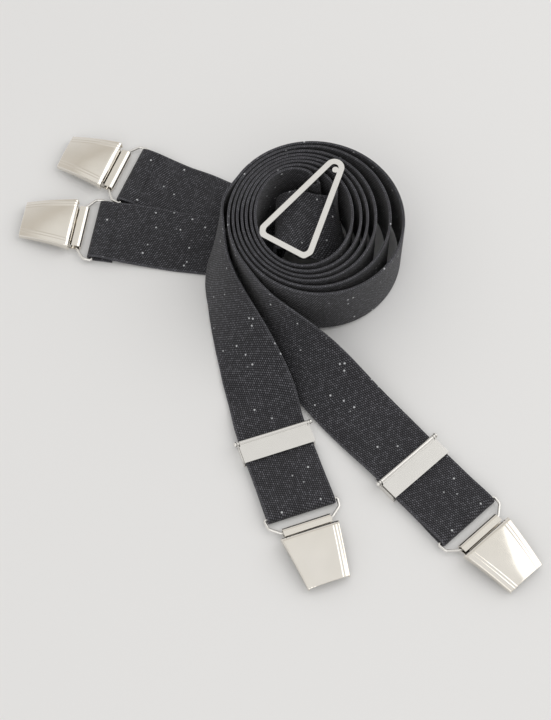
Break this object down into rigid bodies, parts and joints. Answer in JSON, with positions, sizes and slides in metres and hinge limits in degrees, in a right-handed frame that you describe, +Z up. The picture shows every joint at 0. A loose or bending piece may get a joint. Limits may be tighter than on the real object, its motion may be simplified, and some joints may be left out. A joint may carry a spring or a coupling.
{
  "type": "suspenders",
  "caption": "Elastic X-back suspenders rolled into a coil, with a crossing ring, slide adjusters and lever clips.",
  "frame": {"origin": "middle of the bounding box at its underside, on the table that the suspenders lie on", "axes": "+Z up from the table; +Y from the front clips towards the coil and the crossing ring; +X to the right of that"},
  "size_m": [0.2639, 0.2622, 0.0415],
  "materials": {
    "webbing": "charcoal melange woven elastic with a fine twill speckle",
    "nickel": "polished nickel plate",
    "satin_nickel": "satin nickel plate",
    "steel": "plain zinc-nickel plated steel",
    "rubber": "matt black"
  },
  "bodies": {
    "straps": {"left_strap": "webbing", "right_strap": "webbing", "crossing_ring": "satin_nickel"},
    "left_front_loop": {"left_front_wire_loop": "satin_nickel"},
    "left_front_clip": {"left_front_clip_base": "nickel", "left_front_hinge_pin": "steel", "left_front_grip_pad": "rubber", "left_front_leaf_spring": "steel"},
    "left_front_lever": {"left_front_clip_cover": "nickel"},
    "left_front_jaw": {"left_front_toothed_jaw": "steel"},
    "right_front_loop": {"right_front_wire_loop": "satin_nickel"},
    "right_front_clip": {"right_front_clip_base": "nickel", "right_front_hinge_pin": "steel", "right_front_grip_pad": "rubber", "right_front_leaf_spring": "steel"},
    "right_front_lever": {"right_front_clip_cover": "nickel"},
    "right_front_jaw": {"right_front_toothed_jaw": "steel"},
    "left_back_loop": {"left_back_wire_loop": "satin_nickel"},
    "left_back_clip": {"left_back_clip_base": "nickel", "left_back_hinge_pin": "steel", "left_back_grip_pad": "rubber", "left_back_leaf_spring": "steel"},
    "left_back_lever": {"left_back_clip_cover": "nickel"},
    "left_back_jaw": {"left_back_toothed_jaw": "steel"},
    "right_back_loop": {"right_back_wire_loop": "satin_nickel"},
    "right_back_clip": {"right_back_clip_base": "nickel", "right_back_hinge_pin": "steel", "right_back_grip_pad": "rubber", "right_back_leaf_spring": "steel"},
    "right_back_lever": {"right_back_clip_cover": "nickel"},
    "right_back_jaw": {"right_back_toothed_jaw": "steel"},
    "left_front_slide": {"left_front_slide_frame": "satin_nickel", "left_front_slide_pin": "satin_nickel"},
    "left_front_flap": {"left_front_slide_flap": "satin_nickel"},
    "right_front_slide": {"right_front_slide_frame": "satin_nickel", "right_front_slide_pin": "satin_nickel"},
    "right_front_flap": {"right_front_slide_flap": "satin_nickel"}
  },
  "joints": [
    {"name": "left_front_loop_swing", "type": "hinge", "parent": "straps", "child": "left_front_loop", "pos_m": [0.01665, -0.08785, 0.0024], "axis": [-0.9444, -0.3289, 0], "range_deg": [-30, 30]},
    {"name": "left_front_clip_swing", "type": "hinge", "parent": "left_front_loop", "child": "left_front_clip", "pos_m": [0.01968, -0.09654, 0.0024], "axis": [-0.9444, -0.3289, 0], "range_deg": [-30, 30]},
    {"name": "left_front_lever_lift", "type": "hinge", "parent": "left_front_clip", "child": "left_front_lever", "pos_m": [0.02142, -0.10154, 0.0053], "axis": [-0.9444, -0.3289, 0], "range_deg": [0, 90]},
    {"name": "left_front_jaw_lift", "type": "hinge", "parent": "left_front_clip", "child": "left_front_jaw", "pos_m": [0.02231, -0.10409, 0.0033], "axis": [-0.9444, -0.3289, 0], "range_deg": [0, 10.8]},
    {"name": "right_front_loop_swing", "type": "hinge", "parent": "straps", "child": "right_front_loop", "pos_m": [0.09695, -0.09375, 0.0024], "axis": [-0.7455, -0.6665, 0], "range_deg": [-30, 30]},
    {"name": "right_front_clip_swing", "type": "hinge", "parent": "right_front_loop", "child": "right_front_clip", "pos_m": [0.10308, -0.10061, 0.0024], "axis": [-0.7455, -0.6665, 0], "range_deg": [-30, 30]},
    {"name": "right_front_lever_lift", "type": "hinge", "parent": "right_front_clip", "child": "right_front_lever", "pos_m": [0.10662, -0.10456, 0.0053], "axis": [-0.7455, -0.6665, 0], "range_deg": [0, 90]},
    {"name": "right_front_jaw_lift", "type": "hinge", "parent": "right_front_clip", "child": "right_front_jaw", "pos_m": [0.10841, -0.10657, 0.0033], "axis": [-0.7455, -0.6665, 0], "range_deg": [0, 10.8]},
    {"name": "left_back_loop_swing", "type": "hinge", "parent": "straps", "child": "left_back_loop", "pos_m": [-0.09025, 0.07175, 0.0024], "axis": [0.1478, 0.989, 0], "range_deg": [-30, 30]},
    {"name": "left_back_clip_swing", "type": "hinge", "parent": "left_back_loop", "child": "left_back_clip", "pos_m": [-0.09935, 0.07311, 0.0024], "axis": [0.1478, 0.989, 0], "range_deg": [-30, 30]},
    {"name": "left_back_lever_lift", "type": "hinge", "parent": "left_back_clip", "child": "left_back_lever", "pos_m": [-0.10459, 0.07389, 0.0053], "axis": [0.1478, 0.989, 0], "range_deg": [0, 90]},
    {"name": "left_back_jaw_lift", "type": "hinge", "parent": "left_back_clip", "child": "left_back_jaw", "pos_m": [-0.10726, 0.07429, 0.0033], "axis": [0.1478, 0.989, 0], "range_deg": [0, 10.8]},
    {"name": "right_back_loop_swing", "type": "hinge", "parent": "straps", "child": "right_back_loop", "pos_m": [-0.07265, 0.10635, 0.0024], "axis": [0.3649, 0.9311, 0], "range_deg": [-30, 30]},
    {"name": "right_back_clip_swing", "type": "hinge", "parent": "right_back_loop", "child": "right_back_clip", "pos_m": [-0.08122, 0.10971, 0.0024], "axis": [0.3649, 0.9311, 0], "range_deg": [-30, 30]},
    {"name": "right_back_lever_lift", "type": "hinge", "parent": "right_back_clip", "child": "right_back_lever", "pos_m": [-0.08615, 0.11164, 0.0053], "axis": [0.3649, 0.9311, 0], "range_deg": [0, 90]},
    {"name": "right_back_jaw_lift", "type": "hinge", "parent": "right_back_clip", "child": "right_back_jaw", "pos_m": [-0.08866, 0.11263, 0.0033], "axis": [0.3649, 0.9311, 0], "range_deg": [0, 10.8]},
    {"name": "left_front_slide_travel", "type": "slide", "parent": "straps", "child": "left_front_slide", "axis": [0.3256, -0.9455, 0], "range_m": [-0.002, 0.014]},
    {"name": "left_front_flap_lift", "type": "hinge", "parent": "left_front_slide", "child": "left_front_flap", "pos_m": [0.00311, -0.04852, 0.0055], "axis": [-0.9455, -0.3256, 0], "range_deg": [0, 100]},
    {"name": "right_front_slide_travel", "type": "slide", "parent": "straps", "child": "right_front_slide", "axis": [0.6691, -0.7431, 0], "range_m": [-0.002, 0.014]},
    {"name": "right_front_flap_lift", "type": "hinge", "parent": "right_front_slide", "child": "right_front_flap", "pos_m": [0.06911, -0.06284, 0.0055], "axis": [-0.7431, -0.6691, 0], "range_deg": [0, 100]}
  ],
  "couplings": [
    {"joint": "left_front_jaw_lift", "follows": "left_front_lever_lift", "ratio": 0.12},
    {"joint": "right_front_jaw_lift", "follows": "right_front_lever_lift", "ratio": 0.12},
    {"joint": "left_back_jaw_lift", "follows": "left_back_lever_lift", "ratio": 0.12},
    {"joint": "right_back_jaw_lift", "follows": "right_back_lever_lift", "ratio": 0.12}
  ]
}
